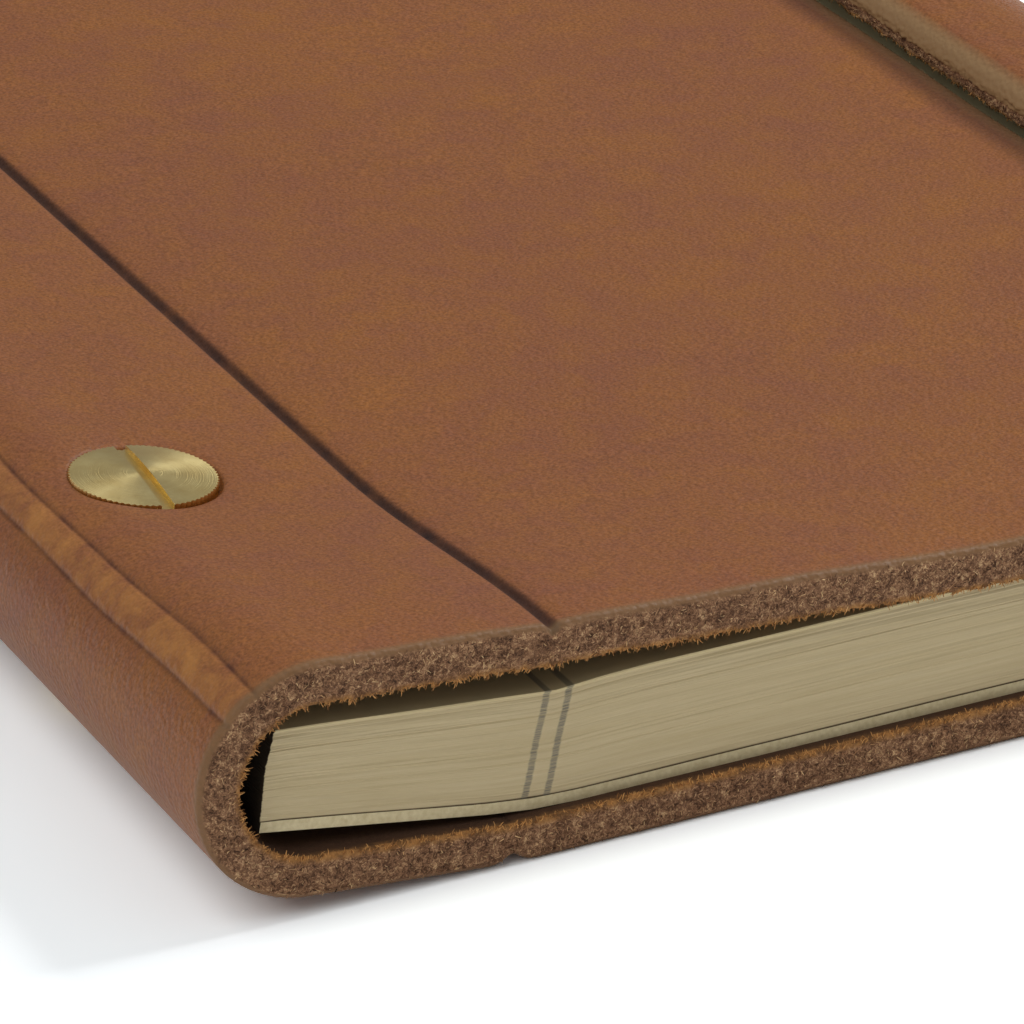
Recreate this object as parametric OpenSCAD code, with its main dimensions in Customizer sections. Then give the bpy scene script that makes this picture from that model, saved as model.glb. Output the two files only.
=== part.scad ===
// Refillable journal: one thick leather hide wraps a stack of pages, held by two slotted screw posts.
// X runs from the rounded spine to the fore-edge, Y from tail to head, Z up. It lies on its back cover.

/* [Pages] */
// Width of a sheet from its spine edge to its fore-edge
page_w = 120; // [100:1:160]
// Height of a sheet from tail to head
page_h = 178; // [140:1:240]
// Thickness of the stack of sheets
stack_t = 10; // [6:0.5:18]
// Thickness of the card that backs the sheets
board_t = 1; // [0.6:0.1:2]
// How much thinner the screws squeeze the stack at its spine edge
squeeze = 2; // [0:0.25:3]
// How far the sheets stop short of the leather at tail and head
page_inset = 1.9; // [0.5:0.1:6]
// Slope of the bound margin of the pages above the table, in degrees
page_rise = 9.5; // [6:0.5:11]
// Radius of the bend where the bound margin leaves the flat
page_bend_r = 50; // [30:1:60]
// Where that bend starts, right of the groove in the back cover
page_bend_x = 6.5; // [5:0.5:10]
// Depth of the dip that the hinge makes in the top sheets
page_dip = 0.4; // [0:0.1:0.8]

/* [Leather] */
// Thickness of the hide
leather_t = 3.6; // [2.4:0.1:5]
// Flat margin of the back cover, from its groove to the rounded spine
back_margin = 18.2; // [16:0.1:26]
// Flat margin of the front cover, from the rounded spine to its hinge groove
front_margin = 19.9; // [18:0.1:28]
// Slope of the back margin above the table, in degrees
back_rise = 5; // [3:0.5:6]
// Slope of the front margin down to the hinge groove, in degrees
front_rise = 5.5; // [4:0.5:7]
// Room between the pages and the inside of the rounded spine, top and bottom together
spine_room = 2.6; // [2:0.1:4]
// Distance over which the front cover comes down onto the pages
drape = 44; // [30:1:60]
// Gap between the pages and the flat part of the front cover
cover_gap = 0.2; // [0.1:0.05:0.5]
// Radius of the corners of the hide, seen from above
corner_r = 2.5; // [1:0.5:6]

/* [Hinge grooves] */
// Width of the burnished groove that the front cover folds at
groove_w = 1.2; // [0.8:0.1:2]
// Depth of that groove
groove_d = 0.9; // [0.5:0.1:1.2]
// Width of the notch pressed into the back cover
notch_w = 1.9; // [1:0.1:2.5]
// Depth of that notch
notch_d = 0.7; // [0.3:0.1:1]
// Gap between the two sides of a fold in the hide
fold_gap = 0.1; // [0.05:0.05:0.2]

/* [Fore-edge flap] */
// Room between the front cover and the flap above it
flap_room = 0.9; // [0.6:0.1:2]
// Straight part of the flap past the rounded fore-edge
flap_len = 6.4; // [4:0.1:20]
// How far the flap leans down to its edge, in degrees
flap_droop = 5; // [0:1:8]
// Gap between the fore-edge of the front cover and the raw edge of the flap
flap_slit = 1.1; // [0.6:0.1:3]

/* [Spine creases] */
// Width of the two creases along the top of the rounded spine
crease_w = 0.5; // [0.3:0.1:0.8]
// Depth of those creases
crease_d = 0.25; // [0.1:0.05:0.4]
// Angle of the first crease round the spine from its top, in degrees
crease_first = 30; // [20:1:36]
// Angle between the two creases, in degrees
crease_step = 19; // [8:1:24]

/* [Screw posts] */
// Distance between the two posts along the spine
post_pitch = 97; // [60:1:110]
// Distance of the posts from the hinge groove
post_margin = 16.8; // [13.5:0.1:17]
// Diameter of the heads
head_d = 12.7; // [9:0.1:14]
// Thickness of the heads
head_t = 1.5; // [1.2:0.1:2]
// Height of the domed face of a head above its rim
head_crown = 0.3; // [0.1:0.05:0.5]
// How far a head sinks into the leather
head_sink = 1; // [0.6:0.1:1.1]
// Clearance round a sunk head
head_clear = 0.15; // [0.05:0.05:0.3]
// Number of knurls round a rim
knurls = 76; // [40:1:90]
// Depth of a knurl
knurl_d = 0.18; // [0.1:0.02:0.3]
// Width of the screwdriver slot
slot_w = 1.1; // [0.8:0.1:1.6]
// Depth of that slot
slot_d = 0.7; // [0.4:0.1:0.9]
// Turn of the slot in the tail screw away from the spine, in degrees
tail_slot_turn = -5; // [-90:1:90]
// Turn of the slot in the head screw away from the spine, in degrees
head_slot_turn = -38; // [-90:1:90]
// Outer diameter of the post's barrel
barrel_d = 5.2; // [4.6:0.1:6]
// Diameter of the screw's shank
shank_d = 3.9; // [3:0.1:4]
// Radial clearance of the shank in its barrel
shank_clear = 0.05; // [0.02:0.01:0.1]
// Length of the screw's shank
shank_len = 8; // [5:0.5:10]
// Gap left between the barrel and the screw's head
take_up = 0.6; // [0.3:0.1:1.2]
// Radial clearance of the barrel in the leather
leather_hole_clear = 0.15; // [0.05:0.05:0.4]
// Radial clearance of the barrel in the pages
page_hole_clear = 0.4; // [0.1:0.1:1]

/* [Hidden] */
$fn = 96;

// Directions in the cross-section, where X is across the journal and the second number is the height
function along(angle) = [cos(angle), sin(angle)];
// Where the line through p along d meets the line through q along e
function meet(p, d, q, e) = p + d * (((q - p).x * e.y - (q - p).y * e.x) / (d.x * e.y - d.y * e.x));

hide_h = page_h + 2 * page_inset;
refill_t = stack_t + board_t;
refill_top = leather_t + refill_t;

// Rounded spine, tangent to both margins, with the notch of the back cover at the start of X
spine_in_r = (refill_t + spine_room) / 2;
spine_r = spine_in_r + leather_t;
spine_c = back_margin * along(180 - back_rise) + spine_r * along(90 - back_rise);
spine_turn = 180 + front_rise - back_rise;
hinge = spine_c + spine_r * along(90 - front_rise) + front_margin * along(-front_rise);

// Underside of the card: flat on the back cover, one bend, then up to the spine
bend_end = [page_bend_x - page_bend_r * sin(page_rise), leather_t + page_bend_r * (1 - cos(page_rise))];
// Gap between the corner of the card and the inside of the spine
corner_gap = 0.55;
reach = spine_in_r - corner_gap;
margin_dir = along(180 - page_rise);
to_centre = bend_end - spine_c;
margin_run = -(to_centre * margin_dir) + sqrt(pow(to_centre * margin_dir, 2) - to_centre * to_centre + reach * reach);
card_corner = bend_end + margin_run * margin_dir;
// The card's lip turns up round the spine edge of the lowest sheets
lip_t = 0.5 * board_t;
lip_h = 1.6 * board_t;
flat_run = page_w + lip_t - margin_run - page_bend_r * page_rise * PI / 180;
fore_edge_x = page_bend_x + flat_run;
sheet_corner = card_corner + lip_t * along(-page_rise);
sheet_top_corner = sheet_corner + (refill_t - squeeze) * along(90 - page_rise);
dip = [hinge.x + 1, refill_top - page_dip];
dip_end_x = dip.x + 8;
// The sheets slide on each other in the bend, so their fore-edge leans out at the top
lean = refill_t * tan(page_rise);

// Room between the lowest sheets and the start of the rounded fore-edge
fore_room = 1.22;
// Rounded fore-edge of the hide, high enough for the flap to pass over the front cover
nose_in_r = (refill_t + leather_t + flap_room) / 2;
nose_r = nose_in_r + leather_t;
nose_c = [fore_edge_x + fore_room, nose_r];
flap_edge_top = nose_c + nose_r * along(90 + flap_droop) + flap_len * along(180 + flap_droop);
flap_edge_x = flap_edge_top.x;
cover_edge_x = flap_edge_x - flap_slit;
cover_top = refill_top + cover_gap + leather_t;

// Screw posts stand square to the margins, and the leather is drawn in round them
post_tilt = (front_rise + back_rise) / 2;
post_dir = along(90 - post_tilt);
post_top = hinge + post_margin * along(180 - front_rise);
post_foot = meet(post_top, post_dir, [0, 0], along(-back_rise));
clamp_top = meet(post_top, post_dir, dip, sheet_top_corner - dip);
clamp_foot = meet(post_top, post_dir, bend_end, margin_dir);
post_span = norm(post_top - post_foot);
dish_floor_r = head_d / 2 + 0.5;
dish_r = dish_floor_r + 4.5;
boss_floor_r = dish_floor_r + 0.6;
boss_r = boss_floor_r + 2.4;
// Clearance between a drawn-in seat and the pages
seat_gap = 0.05;
// How much the card slopes away from the square seat across it
card_slope = boss_floor_r * tan(page_rise - post_tilt);
top_dish = norm(post_top - clamp_top) - leather_t - seat_gap;
foot_dish = max(0.2, norm(clamp_foot - post_foot) - leather_t - seat_gap - card_slope);
screw_seat = -top_dish - head_sink;
post_seat = foot_dish + head_sink;

// The journal's box is centred over the origin
low_x = spine_c.x - spine_r;
high_x = nose_c.x + nose_r;
centre_x = (low_x + high_x) / 2;

// Turns a cross-section into a length along the spine
module length_of(h) {
    rotate([90, 0, 0]) linear_extrude(height = h, center = true) children();
}

// Most degrees that one straight facet of a bend takes
facet = 5;

// Points along a route, moved t to its left, from p with heading h.
// A step of the route is [length] or [radius, angle], where the angle turns left
function trace(route, p, h, t, i = 0) =
    let (s = route[i])
    i == len(route) ? [p + t * along(h + 90)]
    : len(s) == 1 ? concat([p + t * along(h + 90)], trace(route, p + s[0] * along(h), h, t, i + 1))
    : let (c = p + s[0] * along(h + 90), n = ceil(s[1] / facet))
      concat([for (k = [0:n - 1]) c + (s[0] - t) * along(h - 90 + s[1] * k / n)],
             trace(route, c + s[0] * along(h - 90 + s[1]), h + s[1], t, i + 1));

function reversed(list) = [for (i = [len(list) - 1:-1:0]) list[i]];

// Sheet of thickness t that lies on the left of a route
module sheet_along(route, p, h, t) {
    polygon(concat(trace(route, p, h, 0), reversed(trace(route, p, h, t))));
}

// V-shaped groove with its mouth on the surface at the origin, cut downwards
module groove_shape(w, d) {
    polygon([[-w / 2 * 1.5, d / 2], [w / 2 * 1.5, d / 2], [0, -d]]);
}

// Places children at a post, with the height measured along the post from p
module at_post(p, y) {
    translate([p.x, y, p.y]) rotate([0, post_tilt, 0]) children();
}

post_ys = [-post_pitch / 2, post_pitch / 2];

// Rounds the corners of the hide on the side of x, seen from above
module hide_corners(x, side) {
    for (end = [-1, 1])
        translate([x, end * hide_h / 2, -1]) scale([side, end, 1])
            linear_extrude(height = 2 * nose_r + 20) difference() {
                translate([-corner_r, -corner_r]) square(2 * corner_r);
                translate([-corner_r, -corner_r]) circle(r = corner_r);
            }
}

// The hide bends over the notch on a small radius, and that bend eats a little of the flats beside it
notch_bend_r = leather_t + 1;
notch_bend = notch_bend_r * tan(back_rise / 2);
// Turn of the rounded fore-edge that the gap at its fold takes
fold_turn = fold_gap / 2 / nose_r * 180 / PI;
hide_route = [[front_margin - fold_gap / 2], [spine_r, spine_turn], [back_margin - notch_bend],
              [notch_bend_r, back_rise], [nose_c.x - notch_bend], [nose_r, 90 - fold_turn]];

module hide_section() difference() {
    sheet_along(hide_route, hinge + fold_gap / 2 * along(180 - front_rise), 180 - front_rise, leather_t);
    translate(hinge) groove_shape(groove_w, groove_d);
    rotate(180) groove_shape(notch_w, notch_d);
    for (i = [0, 1])
        translate(spine_c) rotate(crease_first + i * crease_step) translate([0, spine_r])
            groove_shape(crease_w, crease_d);
}

module spine_and_back_cover() color("saddlebrown") translate([-centre_x, 0, 0])
    difference() {
        union() {
            length_of(hide_h) hide_section();
            for (y = post_ys) {
                at_post(post_top, y) drawn_boss(top_dish, -1);
                at_post(post_foot, y) drawn_boss(foot_dish, 1);
            }
        }
        for (y = post_ys) {
            at_post(post_top, y) seat_cut(top_dish, -1);
            at_post(post_foot, y) seat_cut(foot_dish, 1);
            at_post(post_foot, y) cylinder(d = barrel_d + 2 * leather_hole_clear, h = post_span);
        }
    }

// Leather pushed in by depth on the flesh side; inward is 1 upwards and -1 downwards
module drawn_boss(depth, inward) {
    mirror([0, 0, inward < 0 ? 1 : 0]) translate([0, 0, leather_t - 0.5])
        cylinder(r1 = boss_r + 0.5, r2 = boss_floor_r, h = depth + 0.5);
}

// Dish in the grain side, with a round seat at its floor for a head
module seat_cut(depth, inward) {
    mirror([0, 0, inward < 0 ? 1 : 0]) {
        translate([0, 0, -1]) cylinder(r1 = dish_r + (dish_r - dish_floor_r) / depth, r2 = dish_floor_r, h = depth + 1);
        cylinder(r = head_d / 2 + head_clear, h = depth + head_sink);
    }
}

// Height of the grain side of the front cover: a smooth fall from the hinge to the pages
function fall(u) = u * u * (3 - 2 * u);
function cover_line(x) =
    let (u = min(1, max(0, (x - hinge.x) / drape)))
    hinge.y + (cover_top - hinge.y) * (u + fall(u)) / 2;

module front_cover() color("saddlebrown") translate([-centre_x, 0, 0]) {
    steps = 11;
    xs = concat([for (i = [0:steps]) hinge.x + fold_gap / 2 + (drape - fold_gap / 2) * i / steps], [cover_edge_x]);
    difference() {
        length_of(hide_h) difference() {
            polygon(concat([for (x = xs) [x, cover_line(x)]],
                           [for (i = [len(xs) - 1:-1:0]) [xs[i], cover_line(xs[i]) - leather_t]]));
            translate(hinge) groove_shape(groove_w, groove_d);
        }
        hide_corners(cover_edge_x, 1);
    }
}

module fore_edge_flap() color("saddlebrown") translate([-centre_x, 0, 0])
    difference() {
        length_of(hide_h)
            sheet_along([[nose_r, 90 + flap_droop - fold_turn], [flap_len]],
                        nose_c + nose_r * along(fold_turn), 90 + fold_turn, leather_t);
        hide_corners(flap_edge_x, -1);
    }

card_route = [[margin_run], [page_bend_r, page_rise], [flat_run]];

module card_section() {
    sheet_along(card_route, card_corner, -page_rise, board_t);
    translate(card_corner) rotate(-page_rise) translate([0, board_t / 2]) square([lip_t, board_t / 2 + lip_h]);
}

module backing_board() color("wheat") translate([-centre_x, 0, 0])
    page_holes() length_of(page_h) card_section();

module page_holes() difference() {
    children();
    for (y = post_ys)
        at_post(post_foot, y) cylinder(d = barrel_d + 2 * page_hole_clear, h = post_span);
}

module page_block() color("khaki") translate([-centre_x, 0, 0]) {
    // The bottom line runs inside the card, which is then cut away
    half = board_t / 2;
    steps = 8;
    bend = [for (i = [0:steps]) let (a = page_rise * i / steps)
        [page_bend_x - (page_bend_r - half) * sin(a), leather_t + page_bend_r - (page_bend_r - half) * cos(a)]];
    page_holes() length_of(page_h) difference() {
        polygon(concat([[fore_edge_x + half * lean / refill_t, leather_t + half]], bend,
                       [sheet_corner + half * along(90 - page_rise), sheet_top_corner, dip,
                        [(dip.x + dip_end_x) / 2, refill_top - page_dip * 0.3], [dip_end_x, refill_top],
                        [fore_edge_x + lean, refill_top]]));
        card_section();
    }
}

// Disc with a knurled rim and a domed face, standing on its flat side
module knurled_head() {
    dome_r = (pow(head_d / 2, 2) + pow(head_crown, 2)) / (2 * head_crown);
    intersection() {
        linear_extrude(height = head_t)
            polygon([for (i = [0:2 * knurls - 1]) (head_d / 2 - (i % 2) * knurl_d) * along(i * 180 / knurls)]);
        translate([0, 0, head_t - dome_r]) sphere(r = dome_r, $fn = 200);
    }
}

module post(y) color("goldenrod") translate([-centre_x, 0, 0]) at_post(post_foot, y)
    difference() {
        union() {
            translate([0, 0, post_seat]) mirror([0, 0, 1]) knurled_head();
            translate([0, 0, post_seat - head_t / 2])
                cylinder(d = barrel_d, h = post_span + screw_seat - take_up - post_seat + head_t / 2);
        }
        // The bore ends a little short of the head
        translate([0, 0, post_seat + 0.3]) cylinder(d = shank_d + 2 * shank_clear, h = post_span);
    }

module screw(y, turn) color("goldenrod") translate([-centre_x, 0, 0]) at_post(post_top, y)
    translate([0, 0, screw_seat]) {
        difference() {
            knurled_head();
            rotate(turn) translate([-slot_w / 2, -head_d, head_t - slot_d]) cube([slot_w, 2 * head_d, 2 * slot_d]);
        }
        translate([0, 0, -shank_len]) cylinder(d = shank_d, h = shank_len + (head_t - slot_d) / 2);
    }

spine_and_back_cover();
front_cover();
fore_edge_flap();
page_block();
backing_board();
post(post_ys[0]);  // tail_post
post(post_ys[1]);  // head_post
screw(post_ys[0], tail_slot_turn);  // tail_screw
screw(post_ys[1], head_slot_turn);  // head_screw
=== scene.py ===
import math

import bmesh
import bpy
import numpy as np
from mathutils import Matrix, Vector, noise


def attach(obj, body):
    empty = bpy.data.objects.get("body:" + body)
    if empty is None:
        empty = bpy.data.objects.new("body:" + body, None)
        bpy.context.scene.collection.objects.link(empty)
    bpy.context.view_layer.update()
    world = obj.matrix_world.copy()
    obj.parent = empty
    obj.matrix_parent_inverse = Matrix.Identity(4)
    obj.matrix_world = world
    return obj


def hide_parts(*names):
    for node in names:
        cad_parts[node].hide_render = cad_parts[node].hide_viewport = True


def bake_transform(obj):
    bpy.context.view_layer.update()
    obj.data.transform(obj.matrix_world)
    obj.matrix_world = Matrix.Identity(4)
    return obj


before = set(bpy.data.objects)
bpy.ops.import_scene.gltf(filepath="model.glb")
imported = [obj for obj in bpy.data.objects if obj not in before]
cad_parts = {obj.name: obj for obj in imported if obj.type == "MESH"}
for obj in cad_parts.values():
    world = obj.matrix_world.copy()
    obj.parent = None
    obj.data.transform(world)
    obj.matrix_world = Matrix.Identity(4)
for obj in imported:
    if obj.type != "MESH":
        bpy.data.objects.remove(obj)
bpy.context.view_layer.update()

# Sizes in millimetres and angles in degrees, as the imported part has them; points are x and z in the side view
MM = 0.001
HIDE_H = 181.8
HALF_H = HIDE_H / 2
LEATHER = 3.6
NOTCH_X = -41.692
HINGE = np.array([-38.111, 20.391])
SPINE_C = np.array([-58.916, 11.947])
SPINE_R = 10.4
SPINE_FROM, SPINE_TO = 265, 84.5
NOSE_C = np.array([57.966, 11.35])
NOSE_R = 11.35
POST_TILT = 5.25
POST_Y = 48.5
POST_TOP = np.array([-54.833, 22.002])
POST_FOOT = np.array([-56.734, 1.316])
SCREW_SEAT = -3.506
POST_SEAT = 1.933
HEAD_THICK = 1.5

# The edges of the cover and flap follow the photo, up to 0.7 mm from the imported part
COVER_EDGE_X = 50.2
FLAP_LEN = 6.85
FLAP_DROOP = 5.0
FLAP_BEVEL = 1.9
FLAP_BEVEL_DROP = 1.6
# How dark the painted shadow of the flap is on the front cover beside it
FLAP_PAINTED_SHADOW = 0.5

# Where the features lie on the flat hide, counted from the notch of the back cover
BACK_MARGIN = 18.2
FRONT_MARGIN = 19.9
SPINE_LEN = SPINE_R * math.radians(SPINE_FROM - SPINE_TO)
HINGE_S = BACK_MARGIN + SPINE_LEN + FRONT_MARGIN
COVER_LEN = COVER_EDGE_X - HINGE[0]
TOP_POST_S = HINGE_S - 16.8
FOOT_POST_S = 15.1
CREASES_S = [BACK_MARGIN + SPINE_R * math.radians(SPINE_FROM - a) for a in (120, 139)]

# Pressed lines of the hide, as width and depth
HINGE_GROOVE = (1.1, 0.55)
CREASE = (0.62, 0.17)
NOTCH = (2.4, 0.85)

# Raw edges: bevels, corners, the band that is torn, and how far the cut steps back for the fibres
GRAIN_BEVEL = 0.75
FLESH_BEVEL = 0.4
CORNER_R = 2.5
EDGE_BAND = 0.9
CUT_INSET = 0.32
# From each end of the book the sag of the bound margin grows over this length
SAG_RUN = 38

# Fibres on each square millimetre of cut, how much denser they are at the flesh side, and how far they stand out
FIBRES_PER_MM2 = 4.5
FRINGE_GAIN = 6.0
FIBRE_REACH = 0.22


def along(degrees):
    return np.array([math.cos(math.radians(degrees)), math.sin(math.radians(degrees))])


def smooth(t):
    t = np.clip(t, 0, 1)
    return t * t * (3 - 2 * t)


def linear(code):
    """sRGB hex to the linear colour that a shader takes"""
    out = []
    for i in (0, 2, 4):
        c = int(code[i:i + 2], 16) / 255
        out.append(c / 12.92 if c <= 0.04045 else ((c + 0.055) / 1.055) ** 2.4)
    return (*out, 1.0)


def fill(tree, made, values=None, links=None):
    """Values fill a node's sockets, and links join others to their sources"""
    for key, value in (values or {}).items():
        made.inputs[key].default_value = value
    for key, source in (links or {}).items():
        tree.links.new(source, made.inputs[key])


def node(tree, kind, at=(0, 0), values=None, links=None, stops=(), **settings):
    """Adds a node; the stops of a ramp are pairs of position and sRGB hex, its two ends first"""
    made = tree.nodes.new(kind)
    made.location = at
    for key, value in settings.items():
        setattr(made, key, value)
    for index, (place, code) in enumerate(stops):
        elements = made.color_ramp.elements
        stop = elements[index] if index < 2 else elements.new(place)
        stop.position, stop.color = place, linear(code)
    fill(tree, made, values, links)
    return made


def deselect():
    if bpy.context.object and bpy.context.object.mode != "OBJECT":
        bpy.ops.object.mode_set(mode="OBJECT")
    bpy.ops.object.select_all(action="DESELECT")


def work_on(obj):
    deselect()
    obj.select_set(True)
    bpy.context.view_layer.objects.active = obj


def pick(kind, test):
    """In edit mode, selects the edges or faces that pass the test, and nothing else"""
    bpy.ops.mesh.select_mode(type=kind)
    bpy.ops.mesh.select_all(action="DESELECT")
    bm = bmesh.from_edit_mesh(bpy.context.object.data)
    for item in bm.edges if kind == "EDGE" else bm.faces:
        if test(item):
            item.select_set(True)
    bmesh.update_edit_mesh(bpy.context.object.data)


def read(items, key, width=1, kind=float):
    """A value, or a row of them, for each vertex, face, corner or mark of a mesh"""
    values = np.empty(len(items) * width, kind)
    items.foreach_get(key, values)
    return values.reshape(-1, width) if width > 1 else values


def points_of(obj):
    return read(obj.data.vertices, "co", 3)


def move_points(obj, co):
    obj.data.vertices.foreach_set("co", np.ascontiguousarray(co, dtype=np.float64).ravel())
    obj.data.update()


def mark(obj, name, values):
    """Keeps a number for each point, for the material to read"""
    layer = obj.data.attributes.get(name) or obj.data.attributes.new(name, "FLOAT", "POINT")
    layer.data.foreach_set("value", np.ascontiguousarray(values, dtype=np.float32))


def grain_noise(points, size, seed):
    """Cloudy noise of a real size in millimetres at each point, from about -1 to 1"""
    shift = Vector((seed * 17.3, seed * 5.1, seed * 11.7))
    return np.array([noise.fractal(Vector(p) / size + shift, 0.6, 2.1, 2) for p in points])


# Grain side of the front cover from its hinge on, at the ends of the book and in its middle
COVER_TAIL = [(-38.11, 20.86), (-36.6, 20.88), (-34.2, 20.86), (-30.5, 20.66), (-25.1, 20.35), (-15.9, 20.0),
              (-6.6, 19.3), (2.9, 18.68), (10, 18.47), (18, 18.42), (60, 18.4)]
COVER_MIDDLE = [(-38.11, 17.98), (-36.6, 18.08), (-34.2, 18.22), (-30, 18.36), (-25, 18.42), (60, 18.42)]


def soft_line(points):
    """Heights of a line through points every 0.25 mm, with its corners eased"""
    step, spread = 0.25, 1.6
    x = np.arange(HINGE[0], 60, step)
    z = np.interp(x, *zip(*points))
    reach = int(3 * spread / step)
    k = np.exp(-0.5 * (np.arange(-reach, reach + 1) * step / spread) ** 2)
    pad = np.concatenate([2 * z[0] - z[reach:0:-1], z, z[-1] + np.zeros(reach)])
    return x, np.convolve(pad, k / k.sum(), "valid")


def front_route():
    """Grain side from the notch round the spine and over the top to the fore-edge of the front cover: the way
    along the hide, the points at the ends of the book, and how far its middle sags below them"""
    notch = np.array([NOTCH_X, 0.0])
    s, tail, drop = [], [], []

    def add(way, point, sag):
        s.append(way)
        tail.append(point)
        drop.append(sag)

    for d in np.arange(0, BACK_MARGIN, 0.3):
        add(d, notch + d * along(175), 0)
    for a in np.linspace(SPINE_FROM, SPINE_TO, 120):
        add(BACK_MARGIN + SPINE_R * math.radians(SPINE_FROM - a), SPINE_C + SPINE_R * along(a),
            np.interp(a, [SPINE_TO, 100, 120, 139, 160, 185], [2.2, 1.95, 1.5, 1.15, 0.35, 0.0]))
    start = SPINE_C + SPINE_R * along(SPINE_TO)
    for d in np.arange(0.3, FRONT_MARGIN - 0.1, 0.3):
        # The springy ends of the margin belly up a little over the pages
        t = d / FRONT_MARGIN
        belly = 0.47 * smooth(t / 0.8)
        add(BACK_MARGIN + SPINE_LEN + d, start + d * along(-5.5) + [0, belly],
            np.interp(t, [0, 0.2, 1], [2.2, 2.38, 2.41]) + belly)
    x, z_tail = soft_line(COVER_TAIL)
    z_middle = soft_line(COVER_MIDDLE)[1]
    for i in np.flatnonzero(x <= COVER_EDGE_X + 2):
        add(HINGE_S + x[i] - HINGE[0], np.array([x[i], z_tail[i]]), z_tail[i] - z_middle[i])
    return np.array(s), np.array(tail), np.array(drop)


def back_route():
    """Grain side from the raw edge of the flap, round the fore-edge and along the underside to the notch"""
    turn = 90 + FLAP_DROOP
    top = NOSE_C + NOSE_R * along(turn)
    nose_end = FLAP_LEN + NOSE_R * math.radians(turn + 90)
    route = [(d, top + (FLAP_LEN - d) * along(180 + FLAP_DROOP)) for d in np.linspace(0, FLAP_LEN, 20)[:-1]]
    route += [(FLAP_LEN + NOSE_R * math.radians(turn - a), NOSE_C + NOSE_R * along(a))
              for a in np.linspace(turn, -90, 140)]
    route += [(nose_end + d, np.array([NOSE_C[0] - d, 0])) for d in np.linspace(0, NOSE_C[0] - NOTCH_X, 200)[1:]]
    s, line = zip(*route)
    return np.array(s), np.array(line), np.zeros(len(s))


def wrap(route, flat):
    """Bends points of the flat hide (along, across, height over the grain) to their place, in millimetres"""
    s, line, drop = route
    first, last = line[0] - line[1], line[-1] - line[-2]
    # The route is drawn out by 3 mm at both ends
    s = np.concatenate([[s[0] - 3], s, [s[-1] + 3]])
    line = np.concatenate([[line[0] + 3 * first / np.linalg.norm(first)], line,
                           [line[-1] + 3 * last / np.linalg.norm(last)]])
    drop = np.concatenate([[drop[0]], drop, [drop[-1]]])
    sag = smooth((HALF_H - np.abs(flat[:, 1])) / SAG_RUN)

    def place(offset):
        q = flat[:, 0] + offset
        return np.interp(q, s, line[:, 0]), np.interp(q, s, line[:, 1]) - sag * np.interp(q, s, drop)

    x, z = place(0)
    (xa, za), (xb, zb) = place(-0.25), place(0.25)
    tx, tz = xb - xa, zb - za
    size = np.hypot(tx, tz)
    # The grain side lies to the left of the way the route runs
    return np.stack([x - tz / size * flat[:, 2], flat[:, 1], z + tx / size * flat[:, 2]], axis=1)


def stations(start, end, pitch, fine):
    """Cuts across the flat hide: a regular pitch, with close ones at the grooves and posts"""
    cuts = list(np.linspace(start, end, int(round((end - start) / pitch)) + 1))
    for centre, offsets in fine:
        cuts = [c for c in cuts if abs(c - centre) > offsets[-1] + 0.25]
        cuts += [centre + sign * o for o in offsets for sign in (-1, 1) if not (o == 0 and sign < 0)]
    return sorted(cuts)


def cut_hide(name, cuts, rows, raw_start, raw_end, holes=()):
    """A flat piece of hide with its grain side up, raw edges all round but where another piece joins it"""
    deselect()
    bpy.ops.mesh.primitive_grid_add(x_subdivisions=len(cuts) - 1, y_subdivisions=len(rows) - 1, size=1,
                                    location=(0, 0, 0))
    obj = bpy.context.object
    obj.name = obj.data.name = name
    co = points_of(obj)
    for axis, places in ((0, cuts), (1, rows)):
        index = np.rint((co[:, axis] + 0.5) * (len(places) - 1)).astype(int)
        co[:, axis] = np.array(places)[index]
    move_points(obj, co)
    pitch = rows[1] - rows[0]
    ends = ([0.0] if raw_start else []) + ([cuts[-1]] if raw_end else [])

    def lies_along(e):
        return abs(e.verts[0].co.y - e.verts[1].co.y) < 1e-4

    def lies_across(e):
        return abs(e.verts[0].co.x - e.verts[1].co.x) < 1e-4

    bpy.ops.object.mode_set(mode="EDIT")
    for s0, y0 in holes:
        pick("FACE", lambda f: abs(f.calc_center_median().x - s0) < SEAT_CELL
             and abs(f.calc_center_median().y - y0) < SEAT_CELL)
        bpy.ops.mesh.delete(type="FACE")
    # Finer rows next to each raw edge
    pick("EDGE", lambda e: min(HALF_H - abs(v.co.y) for v in e.verts) < 0.01 and lies_across(e))
    bpy.ops.mesh.subdivide(number_cuts=3)
    if ends:
        pick("EDGE", lambda e: lies_along(e)
             and any(min(abs(v.co.x - end) for v in e.verts) < 0.01 for end in ends))
        bpy.ops.mesh.subdivide(number_cuts=2)
    pick("EDGE", lambda e: lies_along(e) and HALF_H - abs(e.verts[0].co.y) < 0.6 * pitch)
    bpy.ops.mesh.subdivide(number_cuts=3)
    if ends:
        pick("EDGE", lambda e: lies_across(e) and e.calc_length() > 0.6
             and any(abs(e.verts[0].co.x - end) < 0.72 for end in ends))
        bpy.ops.mesh.subdivide(number_cuts=4)
    bpy.ops.object.mode_set(mode="OBJECT")
    skin = obj.modifiers.new("thickness", "SOLIDIFY")
    skin.thickness = LEATHER
    skin.offset = -1
    skin.use_even_offset = False
    bpy.ops.object.modifier_apply(modifier="thickness")
    bpy.ops.object.mode_set(mode="EDIT")
    pick("EDGE", lambda e: abs(e.verts[0].co.z - e.verts[1].co.z) > 3
         and (HALF_H - abs(e.verts[0].co.y) < 0.01 or any(abs(e.verts[0].co.x - end) < 0.01 for end in ends)))
    bpy.ops.mesh.subdivide(number_cuts=17)
    bpy.ops.object.mode_set(mode="OBJECT")
    return obj


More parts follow.
